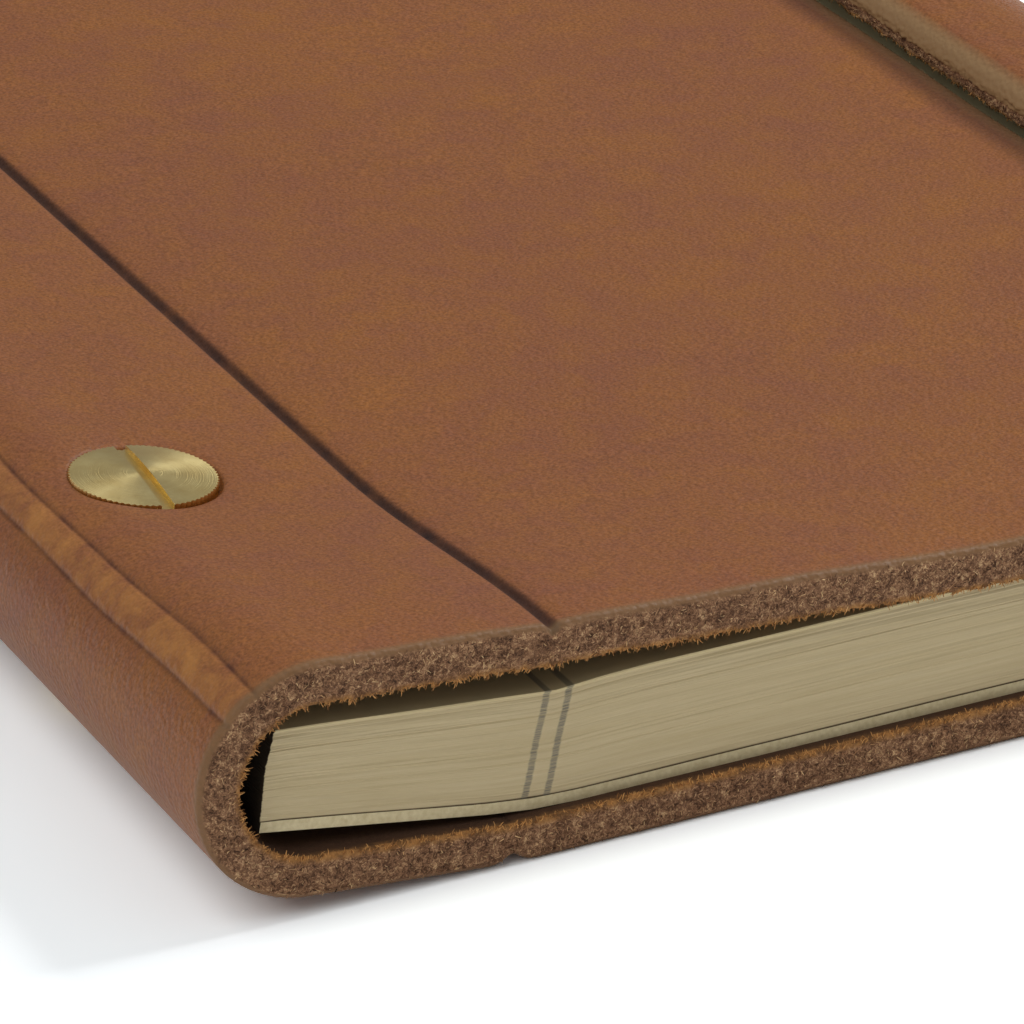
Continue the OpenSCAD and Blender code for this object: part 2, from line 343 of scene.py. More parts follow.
# Rings of the grid round each post, one cell apart, with their radii and depths: the hole, the floor of the
# seat, its wall, its pressed lip, and out to the square
SEAT_CELL = 0.8
SEAT_CELLS = 11
RING = [0, 1, 6, 7, 8, 9, 10, 11]
RING_R = [0, 2.75, 6.5, 6.5, 6.62, 6.85, 7.6, 8.8]
RING_DEPTH = [-1.0, -1.0, -1.0, -0.35, -0.12, -0.02, 0, 0]


def press_seat(flat, s, y):
    """Moves the square grid round a post onto circles, and sinks them on the grain side into a seat for the head"""
    u, v = (flat[:, 0] - s) / SEAT_CELL, (flat[:, 1] - y) / SEAT_CELL
    m = np.maximum(np.abs(u), np.abs(v))
    hit = (m < SEAT_CELLS - 0.01) & (m > 0.5)
    u, v, m = u[hit], v[hit], m[hit]
    away = np.hypot(u, v)
    round_part = np.interp(m, [9, 10, 11], [1, 0.75, 0])
    r = np.interp(m, RING, RING_R)
    flat[hit, 0] = s + r * (round_part * u / away + (1 - round_part) * u / m)
    flat[hit, 1] = y + r * (round_part * v / away + (1 - round_part) * v / m)
    grain = np.abs(flat[hit, 2]) < 0.01
    flat[hit, 2] += np.where(grain, np.interp(m, RING, RING_DEPTH), 0)
    return flat


def groove(away, size):
    """Depth of a rounded groove pressed across the hide, at a distance from its middle"""
    width, depth = size
    return -depth * np.exp(-((np.abs(away) / (width / 2)) ** 2) * 1.4)


def off_crease(s, y, centre):
    """How far along the hide a point is from a crease of the spine, which wanders a little"""
    return s + 0.12 * np.sin(y / 9 + centre) + 0.08 * np.sin(y / 3.7 + 2 * centre) - centre


def round_corners(flat, ends):
    """Turns the square corners of the flat hide round"""
    out = flat.copy()
    for end in ends:
        u = np.abs(flat[:, 0] - end)
        v = HALF_H - np.abs(flat[:, 1])
        hit = (u < CORNER_R) & (v < CORNER_R)
        a, b = (CORNER_R - u[hit]) / CORNER_R, (CORNER_R - v[hit]) / CORNER_R
        k = np.maximum(a, b) / np.maximum(np.hypot(a, b), 1e-9)
        sign = 1 if end == 0 else -1
        out[hit, 0] = end + sign * (CORNER_R - a * k * CORNER_R)
        out[hit, 1] = np.sign(flat[hit, 1]) * (HALF_H - (CORNER_R - b * k * CORNER_R))
    return out


def finish_edges(obj, ends):
    """Works the raw edges of the flat hide: a bevel on the grain side, a torn cut and a ragged flesh side"""
    flat = points_of(obj)
    gap = HALF_H - np.abs(flat[:, 1])
    for end in ends:
        gap = np.minimum(gap, np.abs(flat[:, 0] - end))
    inwards = np.zeros((len(flat), 2))
    side = HALF_H - np.abs(flat[:, 1]) <= gap + 1e-6
    inwards[side, 1] = -np.sign(flat[side, 1])
    for end in ends:
        hit = np.abs(flat[:, 0] - end) <= gap + 1e-6
        inwards[hit, 0] = 1 if end == 0 else -1
    inwards /= np.maximum(np.linalg.norm(inwards, axis=1, keepdims=True), 1e-9)
    rim = gap < 0.01
    depth = -flat[:, 2]
    for radius, h, sign in ((GRAIN_BEVEL, depth, -1), (FLESH_BEVEL, LEATHER - depth, 1)):
        a, b = np.clip((radius - gap) / radius, 0, 1), np.clip((radius - h) / radius, 0, 1)
        hit = (a > 0) & (b > 0)
        k = np.ones(len(flat))
        k[hit] = np.maximum(a[hit], b[hit]) / np.hypot(a[hit], b[hit])
        shift_in = radius - a * k * radius - np.minimum(gap, radius)
        shift_h = radius - b * k * radius - np.minimum(h, radius)
        flat[hit, :2] += inwards[hit] * shift_in[hit, None]
        flat[hit, 2] += sign * shift_h[hit]
    near = gap < EDGE_BAND
    coarse = grain_noise(flat[near], 0.9, 1)
    fine = grain_noise(flat[near], 0.42, 2)
    d = depth[near]
    cut = rim[near].astype(float)
    close = smooth(1 - gap[near] / EDGE_BAND)
    out = cut * (0.10 * coarse + 0.16 * fine) * (0.25 + 0.75 * smooth(d / 0.9))
    # The cut face bellies a little, and leaves room for the fibres that stand on it
    out += cut * 0.12 * np.sin(np.pi * np.clip(d / LEATHER, 0, 1)) - CUT_INSET * close
    flat[near, :2] -= inwards[near] * out[:, None]
    ragged = smooth((d - (LEATHER - 0.7)) / 0.7) * close
    flat[near, 2] -= ragged * (0.12 + 0.22 * fine + 0.12 * coarse)
    mark(obj, "raw", np.where(rim, smooth((depth - 0.12) / 0.5), 0))
    mark(obj, "lip", smooth((1.5 - gap) / 0.5) * smooth((1.4 - depth) / 0.5))
    mark(obj, "depth", depth / LEATHER)
    mark(obj, "fringe", smooth((1.2 - gap) / 0.8) * smooth((depth - LEATHER + 0.65) / 0.45))
    return flat


def seat_dish(s, y, s0, y0, depth, inner, outer):
    """Depth of the shallow dish that a head has pressed round its seat"""
    r = np.hypot(s - s0, y - y0)
    return -depth * (1 - smooth((r - inner) / (outer - inner)))


def front_hide():
    """Front cover, bound margins and spine, down to the notch: cut flat, pressed, then wrapped"""
    seat = [SEAT_CELL * k for k in range(SEAT_CELLS + 1)]
    fine = [(HINGE_S, (0, 0.15, 0.3, 0.45, 0.6, 0.85))] + [(c, (0, 0.14, 0.3, 0.5)) for c in sorted(CREASES_S)]
    fine += [(s, seat) for s in (FOOT_POST_S, TOP_POST_S)]
    cuts = stations(0, HINGE_S + COVER_LEN, 1.2, fine)
    rows = stations(-HALF_H, HALF_H, 1.8, [(y, seat) for y in (-POST_Y, POST_Y)])
    posts = [(s, y) for s in (FOOT_POST_S, TOP_POST_S) for y in (-POST_Y, POST_Y)]
    obj = cut_hide("hide_front_and_spine", cuts, rows, False, True, posts)
    length = cuts[-1]
    flat = points_of(obj)
    for s, y in posts:
        flat = press_seat(flat, s, y)
    move_points(obj, round_corners(flat, [length]))
    flat = finish_edges(obj, [length])
    depth = -flat[:, 2]
    s, y = flat[:, 0], flat[:, 1]
    on_grain = smooth(1 - depth / 2.2)
    # Pressed lines: the hinge groove, the two creases of the spine and half of the notch
    pressed = groove(s - HINGE_S, HINGE_GROOVE) + groove(s, NOTCH)
    pressed += sum(groove(off_crease(s, y, c), CREASE) for c in CREASES_S)
    flat[:, 2] += pressed * on_grain
    # The band between the creases stands up a little
    mid = sum(CREASES_S) / 2
    flat[:, 2] += 0.10 * np.exp(-((s - mid) / 1.2) ** 2) * on_grain
    for y0 in (-POST_Y, POST_Y):
        flat[:, 2] += seat_dish(s, y, TOP_POST_S, y0, 0.13, 6.9, 9.5)
        flat[:, 2] += seat_dish(s, y, FOOT_POST_S, y0, 0.9, 6.85, 11.3)
    # The hide is never quite flat
    waves = grain_noise(np.stack([s, y, 0 * s], axis=1), 26, 3)
    beyond_spine = smooth((s - BACK_MARGIN - SPINE_LEN) / 10)
    flat[:, 2] += 0.16 * waves * beyond_spine * smooth(1 - np.exp(-((s - HINGE_S) / 4) ** 2))
    # The hinge line was burnt in unevenly, and a shadow of the flap is painted along the fore-edge of the cover; both
    # go into the groove mark
    burnt = np.exp(-((s - HINGE_S - 0.06) / 0.62) ** 4)
    uneven = 0.85 + 0.2 * grain_noise(np.stack([s * 0.3, y, 0 * s], axis=1), 2.0, 5)
    painted_flap_shadow = FLAP_PAINTED_SHADOW * smooth((s - length + 4.4) / 1.5)
    mark(obj, "groove", (np.clip(burnt * uneven, 0, 1) + painted_flap_shadow) * on_grain)
    mark(obj, "crease", sum(np.exp(-(off_crease(s, y, c) / 0.2) ** 2) for c in CREASES_S))
    mark(obj, "worn", np.exp(-np.abs((s - mid) / 1.7) ** 3))
    mark(obj, "rubbed", 0 * s)
    solid = wrap(front_route(), flat)
    # The floors of the seats are flat and square to the posts
    for y0 in (-POST_Y, POST_Y):
        for s0, base, level in ((TOP_POST_S, POST_TOP, SCREW_SEAT - 0.03),
                                (FOOT_POST_S, POST_FOOT, POST_SEAT + 0.03)):
            floor = (np.hypot(s - s0, y - y0) < 6.52) & (depth > 0.9) & (depth < 2.4)
            axis = along(90 - POST_TILT)
            short = level - (solid[floor][:, [0, 2]] - base) @ axis
            solid[floor, 0] += short * axis[0]
            solid[floor, 2] += short * axis[1]
    move_points(obj, solid * MM)
    work_on(obj)
    bpy.ops.object.shade_smooth()
    return obj


def back_hide():
    """Flap, rounded fore-edge and back cover up to the notch"""
    arc = NOSE_R * math.radians(180 + FLAP_DROOP)
    length = FLAP_LEN + arc + NOSE_C[0] - NOTCH_X
    cuts = stations(0, length, 1.15, [])[:-1] + [length - 0.8, length - 0.5, length - 0.25, length]
    cuts = sorted(set(round(c, 4) for c in cuts))
    rows = stations(-HALF_H, HALF_H, 1.8, [])
    obj = cut_hide("hide_back_and_flap", cuts, rows, True, False)
    move_points(obj, round_corners(points_of(obj), [0.0]))
    flat = finish_edges(obj, [0.0])
    depth, s = -flat[:, 2], flat[:, 0]
    flat[:, 2] += groove(s - length, NOTCH) * smooth(1 - depth / 2.2)
    for name in ("groove", "crease", "worn"):
        mark(obj, name, 0 * s)
    # The long edge of the flap is pared to a bevel and rubbed pale
    flat[:, 2] -= FLAP_BEVEL_DROP * np.clip(1 - s / FLAP_BEVEL, 0, 1) * (1 - depth / LEATHER)
    rubbed = smooth((FLAP_BEVEL - s) / 0.4) * smooth((1.7 - depth) / 0.35)
    mark(obj, "rubbed", rubbed)
    mark(obj, "raw", read(obj.data.attributes["raw"].data, "value", kind=np.float32) * (1 - rubbed))
    move_points(obj, wrap(back_route(), flat) * MM)
    work_on(obj)
    bpy.ops.object.shade_smooth()
    return obj


def torn_fibres(name, hide, seed):
    """Fibres that stand out of the raw edges of a piece of hide, and a longer fringe along their flesh side"""
    mesh = hide.data
    raw, depth = (read(mesh.attributes[key].data, "value", kind=np.float32) for key in ("raw", "depth"))
    quads = np.flatnonzero(read(mesh.polygons, "loop_total", kind=int) == 4)
    starts = read(mesh.polygons, "loop_start", kind=int)[quads]
    corners = read(mesh.loops, "vertex_index", kind=int)[starts[:, None] + np.arange(4)]
    cut = raw[corners].min(axis=1) > 0.5
    quads, corners = quads[cut], corners[cut]
    co, depth = points_of(hide)[corners] / MM, depth[corners]
    normal = read(mesh.polygons, "normal", 3)[quads]
    area = read(mesh.polygons, "area")[quads] / MM ** 2
    to_flesh = (depth - depth.mean(axis=1, keepdims=True))[..., None] * (co - co.mean(axis=1, keepdims=True))
    to_flesh = to_flesh.sum(axis=1)
    to_flesh /= np.maximum(np.linalg.norm(to_flesh, axis=1, keepdims=True), 1e-9)

    rng = np.random.default_rng(seed)
    fringe = depth.mean(axis=1) > 0.9
    weight = area * np.where(fringe, FRINGE_GAIN, 1.0)
    n = int(weight.sum() * FIBRES_PER_MM2)
    pick_quad = rng.choice(len(quads), size=n, p=weight / weight.sum())
    a, b = rng.random((2, n, 1))
    c = co[pick_quad]
    root = (c[:, 0] * (1 - a) + c[:, 1] * a) * (1 - b) + (c[:, 3] * (1 - a) + c[:, 2] * a) * b
    out, flesh, hanging = normal[pick_quad], to_flesh[pick_quad], fringe[pick_quad][:, None]
    side = np.cross(out, flesh)
    turn = rng.uniform(0, 2 * math.pi, (n, 1))
    flat_way = side * np.cos(turn) + flesh * np.where(hanging, np.abs(np.sin(turn)) + 0.5, np.sin(turn))
    way = flat_way + out * rng.uniform(0.15, 0.7, (n, 1))
    way /= np.linalg.norm(way, axis=1, keepdims=True)
    across = np.cross(way, rng.normal(size=(n, 3)))
    across /= np.linalg.norm(across, axis=1, keepdims=True)
    other = np.cross(way, across)
    length = np.where(hanging, rng.uniform(0.25, 0.62, (n, 1)), rng.uniform(0.25, 0.6, (n, 1)))
    thick = rng.uniform(0.03, 0.06, (n, 1))
    curl = rng.uniform(-0.35, 0.35, (n, 1))

    # One fibre: a three-sided rod cut in two, and as many copies of it as there are roots
    deselect()
    bpy.ops.mesh.primitive_cylinder_add(vertices=3, radius=1, depth=1, end_fill_type="NGON")
    obj = bpy.context.object
    obj.name = obj.data.name = name
    bpy.ops.object.mode_set(mode="EDIT")
    pick("EDGE", lambda e: abs(e.verts[0].co.z - e.verts[1].co.z) > 0.5)
    bpy.ops.mesh.subdivide(number_cuts=1)
    bpy.ops.object.mode_set(mode="OBJECT")
    rows = obj.modifiers.new("copies", "ARRAY")
    rows.count = n
    rows.use_relative_offset = False
    bpy.ops.object.modifier_apply(modifier="copies")
    rod = points_of(obj).reshape(n, -1, 3)
    t = rod[:, :, 2:3] + 0.5
    taper = 1 - 0.55 * t ** 2

    def each(v):
        return v[:, None, :]

    place = (each(root - 0.05 * out) + each(way * length) * t
             + each(other * length * curl) * 4 * t * (1 - t) * 0.5
             + taper * each(thick) * (rod[:, :, 0:1] * each(across) + rod[:, :, 1:2] * each(other)))
    # None stands further out than the belly of the cut, or goes through the table
    reach = ((place - each(root)) * each(out)).sum(axis=2, keepdims=True)
    place -= each(out) * np.maximum(reach - FIBRE_REACH, 0)
    place[:, :, 2] = np.maximum(place[:, :, 2], 0.01)
    move_points(obj, place.reshape(-1, 3) * MM)
    flesh_tone = np.where(hanging[:, 0], 1.0, smooth((depth.mean(axis=1)[pick_quad] - 0.55) / 0.5) * 0.5)
    mark(obj, "tone", np.repeat(np.clip(rng.normal(0.5, 0.24, n), 0, 1), rod.shape[1]))
    mark(obj, "flesh", np.repeat(flesh_tone, rod.shape[1]))
    work_on(obj)
    bpy.ops.object.shade_smooth()
    return obj


# Materials

NOISE, RAMP, RANGE = "ShaderNodeTexNoise", "ShaderNodeValToRGB", "ShaderNodeMapRange"
MATH, MIX, BUMP = "ShaderNodeMath", "ShaderNodeMix", "ShaderNodeBump"


def new_material(name):
    material = bpy.data.materials.new(name)
    material.use_nodes = True
    tree = material.node_tree
    tree.nodes.clear()
    shader = node(tree, "ShaderNodeBsdfPrincipled", (600, 0))
    node(tree, "ShaderNodeOutputMaterial", (900, 0), links={"Surface": shader.outputs["BSDF"]})
    return material, tree, shader


def waxed_harness_leather():
    """Waxed and rubbed vegetable-tanned leather: warm brown with orange and plum clouds, tan torn cuts"""
    material, tree, shader = new_material("waxed_harness_leather")
    p = node(tree, "ShaderNodeTexCoord", (-1400, 0)).outputs["Object"]
    marks = {}
    for row, name in enumerate(("worn", "crease", "groove", "lip", "rubbed", "raw", "depth", "fringe")):
        made = node(tree, "ShaderNodeAttribute", (-1400, -200 * (row + 1)), attribute_name=name)
        marks[name] = made.outputs["Fac"]
    # Clouds 26 mm across of fuller and paler dye, mottling of 3 mm and specks of 0.3 mm
    clouds = node(tree, NOISE, (-1100, 300), {"Scale": 38, "Detail": 3, "Roughness": 0.55}, {"Vector": p})
    mottle = node(tree, NOISE, (-1100, 100), {"Scale": 300, "Detail": 4, "Roughness": 0.6, "Distortion": 0.4},
                  {"Vector": p})
    speck = node(tree, NOISE, (-1100, -100), {"Scale": 3800, "Detail": 3, "Roughness": 0.7}, {"Vector": p})
    dye = node(tree, RAMP, (-850, 300), links={"Fac": clouds.outputs["Fac"]},
               stops=((0.3, "804E33"), (0.7, "8A562B")))
    warm = node(tree, RAMP, (-850, 100), links={"Fac": mottle.outputs["Fac"]},
                stops=((0.35, "804E37"), (0.68, "8E5A29")))
    base = node(tree, MIX, (-600, 250), {"Factor": 0.42},
                {"A": dye.outputs["Color"], "B": warm.outputs["Color"]}, data_type="RGBA")
    dots = node(tree, RANGE, (-850, -100), {"From Min": 0.36, "From Max": 0.64, "To Min": 0.75, "To Max": 1.25},
                {"Value": speck.outputs["Fac"]})
    dots_colour = node(tree, "ShaderNodeCombineColor", (-650, -100),
                       links={k: dots.outputs["Result"] for k in ("Red", "Green", "Blue")})
    grain = node(tree, MIX, (-400, 200), {"Factor": 1.0},
                 {"A": base.outputs["Result"], "B": dots_colour.outputs["Color"]}, data_type="RGBA",
                 blend_type="MULTIPLY")
    # Worn paler band on the spine, dark creases, burnt hinge line, and the painted shadow of the flap along the
    # fore-edge, which comes in with the groove mark
    patchy = node(tree, RANGE, (-600, -50), {"From Min": 0.36, "From Max": 0.64, "To Min": 0.12, "To Max": 0.62},
                  {"Value": mottle.outputs["Fac"]})
    worn = node(tree, MATH, (-400, 0), links={0: marks["worn"], 1: patchy.outputs["Result"]}, operation="MULTIPLY")
    banded = node(tree, MIX, (-200, 200), {"B": linear("BC8246")},
                  {"Factor": worn.outputs[0], "A": grain.outputs["Result"]}, data_type="RGBA")
    broken = node(tree, RANGE, (-600, -250), {"From Min": 0.3, "From Max": 0.62, "To Min": 0.9, "To Max": 0.35},
                  {"Value": mottle.outputs["Fac"]})
    creasing = node(tree, MATH, (-400, -150), links={0: marks["crease"], 1: broken.outputs["Result"]},
                    operation="MULTIPLY")
    creased = node(tree, MIX, (0, 200), {"B": linear("4A2A20")},
                   {"Factor": creasing.outputs[0], "A": banded.outputs["Result"]}, data_type="RGBA")
    burnt = node(tree, MIX, (200, 200), {"B": linear("33211D")},
                 {"Factor": marks["groove"], "A": creased.outputs["Result"]}, data_type="RGBA")
    # Rubbed lip beside the cut, grey-tan where the wax was worn off
    lip = node(tree, MATH, (200, 0), {1: 0.75}, {0: marks["lip"]}, operation="MULTIPLY")
    lipped = node(tree, MIX, (380, 200), {"B": linear("7B5F41")},
                  {"Factor": lip.outputs[0], "A": burnt.outputs["Result"]}, data_type="RGBA")
    pared = node(tree, MIX, (470, 380), {"B": linear("9A7A55")},
                 {"Factor": marks["rubbed"], "A": lipped.outputs["Result"]}, data_type="RGBA")
    # Cut fibres 0.3 mm across in clumps of 0.9 mm: dark brown between tan ends
    fibres = node(tree, NOISE, (-1100, -400), {"Scale": 3200, "Detail": 4, "Roughness": 0.75, "Distortion": 1.2},
                  {"Vector": p})
    clumps = node(tree, NOISE, (-1100, -600), {"Scale": 1100, "Detail": 3, "Roughness": 0.6}, {"Vector": p})
    blend = node(tree, MIX, (-850, -450), {"Factor": 0.3}, {"A": fibres.outputs["Fac"], "B": clumps.outputs["Fac"]})
    torn = node(tree, RAMP, (-600, -450), links={"Fac": blend.outputs["Result"]},
                stops=((0.36, "3C281E"), (0.66, "F0CB98"), (0.46, "75533C"), (0.55, "AD8260")))
    raw = node(tree, MIX, (560, 250),
               links={"Factor": marks["raw"], "A": pared.outputs["Result"], "B": torn.outputs["Color"]},
               data_type="RGBA")
    # Flesh side: a dark brown nap
    nap = node(tree, MIX, (-350, -500), {"A": linear("3A291F"), "B": linear("684A35")},
               {"Factor": fibres.outputs["Fac"]}, data_type="RGBA")
    deep = node(tree, RANGE, (380, -200), {"From Min": 0.86, "From Max": 0.99}, {"Value": marks["depth"]})
    whole = node(tree, MIX, (740, 250),
                 links={"Factor": deep.outputs["Result"], "A": raw.outputs["Result"], "B": nap.outputs["Result"]},
                 data_type="RGBA")
    # Along the flesh side of a cut the undyed fibres are golden
    gold = node(tree, MIX, (740, 450), {"A": linear("85552E"), "B": linear("E0A765")},
                {"Factor": blend.outputs["Result"]}, data_type="RGBA")
    tufts = node(tree, RANGE, (560, 600), {"From Min": 0.4, "From Max": 0.58, "To Min": 0.3, "To Max": 1.0},
                 {"Value": clumps.outputs["Fac"]})
    tufted = node(tree, MATH, (740, 600), links={0: marks["fringe"], 1: tufts.outputs["Result"]},
                  operation="MULTIPLY")
    edged = node(tree, MIX, (900, 250),
                 links={"Factor": tufted.outputs[0], "A": whole.outputs["Result"], "B": gold.outputs["Result"]},
                 data_type="RGBA")
    # Waxed grain has a dull sheen, fibres have none
    dull = node(tree, MATH, (380, -400), links={0: marks["raw"], 1: deep.outputs["Result"]}, operation="MAXIMUM")
    rough = node(tree, RANGE, (560, -400), {"To Min": 0.52, "To Max": 0.95}, {"Value": dull.outputs[0]})
    # The grain has pores 0.5 mm apart and wrinkles 1 mm apart, and the cut has its pile
    pores = node(tree, "ShaderNodeTexVoronoi", (-1100, -850), {"Scale": 2000, "Randomness": 1.0}, {"Vector": p},
                 feature="SMOOTH_F1")
    wrinkle = node(tree, NOISE, (-1100, -1050), {"Scale": 900, "Detail": 4, "Roughness": 0.6}, {"Vector": p})
    skin = node(tree, MATH, (-850, -900), links={0: pores.outputs["Distance"], 1: wrinkle.outputs["Fac"]},
                operation="ADD")
    height = node(tree, MIX, (-600, -900),
                  links={"Factor": dull.outputs[0], "A": skin.outputs[0], "B": blend.outputs["Result"]})
    amount = node(tree, RANGE, (-600, -1100), {"To Min": 0.45, "To Max": 1.0}, {"Value": dull.outputs[0]})
    bump = node(tree, BUMP, (350, -700), {"Distance": 0.00025},
                {"Height": height.outputs["Result"], "Strength": amount.outputs["Result"]})
    fill(tree, shader, {"Specular IOR Level": 0.22},
         {"Base Color": edged.outputs["Result"], "Roughness": rough.outputs["Result"],
          "Normal": bump.outputs["Normal"]})
    return material


def leather_fibre():
    """Torn collagen fibres: dark dyed ones between undyed tan ends, and orange ones along the flesh side"""
    material, tree, shader = new_material("torn_leather_fibre")
    tone = node(tree, "ShaderNodeAttribute", (-700, 100), attribute_name="tone")
    flesh = node(tree, "ShaderNodeAttribute", (-700, -150), attribute_name="flesh")
    dyed = node(tree, RAMP, (-450, 100), links={"Fac": tone.outputs["Fac"]},
                stops=((0.15, "432E21"), (0.9, "EDC894"), (0.5, "9C7356")))
    warm = node(tree, RAMP, (-450, -150), links={"Fac": tone.outputs["Fac"]},
                stops=((0.15, "925F33"), (0.8, "E6AC68")))
    both = node(tree, MIX, (-100, 0),
                links={"Factor": flesh.outputs["Fac"], "A": dyed.outputs["Color"], "B": warm.outputs["Color"]},
                data_type="RGBA")
    fill(tree, shader, {"Roughness": 0.8, "Specular IOR Level": 0.2}, {"Base Color": both.outputs["Result"]})
    return material


def uncoated_paper():
    """Stack of uncoated cream writing paper: its cut edges show as fine lines, some whiter and some in shadow"""
    material, tree, shader = new_material("uncoated_cream_paper")
    p = node(tree, "ShaderNodeTexCoord", (-1400, 0)).outputs["Object"]
    uv = node(tree, "ShaderNodeUVMap", (-1400, -300), uv_map="stack").outputs["UV"]
    # The map's second number runs from 0 to 1 up the stack, which shows about a hundred sheets
    lines = node(tree, "ShaderNodeMapping", (-1150, -300), {"Scale": (0.9, 95, 1)}, {"Vector": uv})
    sheet = node(tree, NOISE, (-950, -300), {"Scale": 1.0, "Detail": 3, "Roughness": 0.75},
                 {"Vector": lines.outputs[0]})
    wide = node(tree, "ShaderNodeMapping", (-1150, -550), {"Scale": (0.5, 14, 1)}, {"Vector": uv})
    group = node(tree, NOISE, (-950, -550), {"Scale": 1.0, "Detail": 2, "Roughness": 0.5},
                 {"Vector": wide.outputs[0]})
    tone = node(tree, MIX, (-750, -400), {"Factor": 0.4}, {"A": sheet.outputs["Fac"], "B": group.outputs["Fac"]})
    edge = node(tree, RAMP, (-550, -400), links={"Fac": tone.outputs["Result"]},
                stops=((0.28, "C3B187"), (0.72, "D9C8A1")))
    # The top sheet's edge catches the light, and the lowest ones lie in shade against the card
    level = node(tree, "ShaderNodeSeparateXYZ", (-1150, -800), links={"Vector": uv})
    top = node(tree, RANGE, (-750, -700), {"From Min": 0.966, "From Max": 0.976}, {"Value": level.outputs["Y"]})
    low = node(tree, RANGE, (-750, -950), {"From Min": 0.022, "From Max": 0.012}, {"Value": level.outputs["Y"]})
    lit = node(tree, MIX, (-300, -400), {"B": linear("DCCB9C")},
               {"Factor": top.outputs["Result"], "A": edge.outputs["Color"]}, data_type="RGBA")
    dark = node(tree, MIX, (-100, -400), {"B": linear("5A4C38")},
                {"Factor": low.outputs["Result"], "A": lit.outputs["Result"]}, data_type="RGBA")
    # Two printed margin lines run off the ends of the sheets, and show as rows of grey dashes
    place = node(tree, "ShaderNodeSeparateXYZ", (-1150, 300), links={"Vector": p})
    lean = node(tree, MATH, (-950, 300), {1: -MARGIN_LEAN}, {0: place.outputs["Z"]}, operation="MULTIPLY")
    along_rule = node(tree, MATH, (-750, 300), links={0: place.outputs["X"], 1: lean.outputs[0]}, operation="ADD")
    inks = []
    for row, rule in enumerate(MARGIN_LINES):
        off = node(tree, MATH, (-550, 300 - 160 * row), {1: rule * MM}, {0: along_rule.outputs[0]},
                   operation="SUBTRACT")
        away = node(tree, MATH, (-350, 300 - 160 * row), links={0: off.outputs[0]}, operation="ABSOLUTE")
        inks.append(node(tree, RANGE, (-150, 300 - 160 * row), {"From Min": 0.00038, "From Max": 0.00022},
                         {"Value": away.outputs[0]}))
    ink = node(tree, MATH, (50, 250), links={0: inks[0].outputs["Result"], 1: inks[1].outputs["Result"]},
               operation="MAXIMUM")
    dashes = node(tree, RANGE, (50, 50), {"From Min": 0.42, "From Max": 0.56, "To Min": 0.25, "To Max": 0.8},
                  {"Value": sheet.outputs["Fac"]})
    print_on = node(tree, MATH, (250, 150), links={0: ink.outputs[0], 1: dashes.outputs["Result"]},
                    operation="MULTIPLY")
    ruled = node(tree, MIX, (420, 0), {"B": linear("62625F")},
                 {"Factor": print_on.outputs[0], "A": dark.outputs["Result"]}, data_type="RGBA")
    # The bound side lies deep in the shade of the spine
    bound = node(tree, RANGE, (420, 250), {"From Min": 0.02, "From Max": 0.0}, {"Value": level.outputs["X"]})
    shaded = node(tree, MIX, (600, 200), {"B": linear("40362A")},
                  {"Factor": bound.outputs["Result"], "A": ruled.outputs["Result"]}, data_type="RGBA")
    bump = node(tree, BUMP, (300, -300), {"Distance": 0.00005, "Strength": 0.5}, {"Height": sheet.outputs["Fac"]})
    fill(tree, shader, {"Roughness": 0.9, "Specular IOR Level": 0.2},
         {"Base Color": shaded.outputs["Result"], "Normal": bump.outputs["Normal"]})
    return material


def cream_card():
    """Cream mill board behind the refill, with pale cut fibres"""
    material, tree, shader = new_material("cream_backing_card")
    p = node(tree, "ShaderNodeTexCoord", (-1400, 0)).outputs["Object"]
    fleck = node(tree, NOISE, (-600, 0), {"Scale": 1800, "Detail": 3, "Roughness": 0.6}, {"Vector": p})
    tone = node(tree, RAMP, (-350, 0), links={"Fac": fleck.outputs["Fac"]},
                stops=((0.3, "D2C194"), (0.7, "E6D8AE")))
    # Its bound side lies deep in the shade of the spine
    geometry = node(tree, "ShaderNodeNewGeometry", (-600, 300))
    facing = node(tree, "ShaderNodeSeparateXYZ", (-350, 300), links={"Vector": geometry.outputs["Normal"]})
    bound = node(tree, RANGE, (-100, 300), {"From Min": -0.55, "From Max": -0.8}, {"Value": facing.outputs["X"]})
    shaded = node(tree, MIX, (150, 100), {"B": linear("40362A")},
                  {"Factor": bound.outputs["Result"], "A": tone.outputs["Color"]}, data_type="RGBA")
    bump = node(tree, BUMP, (200, -300), {"Distance": 0.00005, "Strength": 0.5}, {"Height": fleck.outputs["Fac"]})
    fill(tree, shader, {"Roughness": 0.85},
         {"Base Color": shaded.outputs["Result"], "Normal": bump.outputs["Normal"]})
    return material


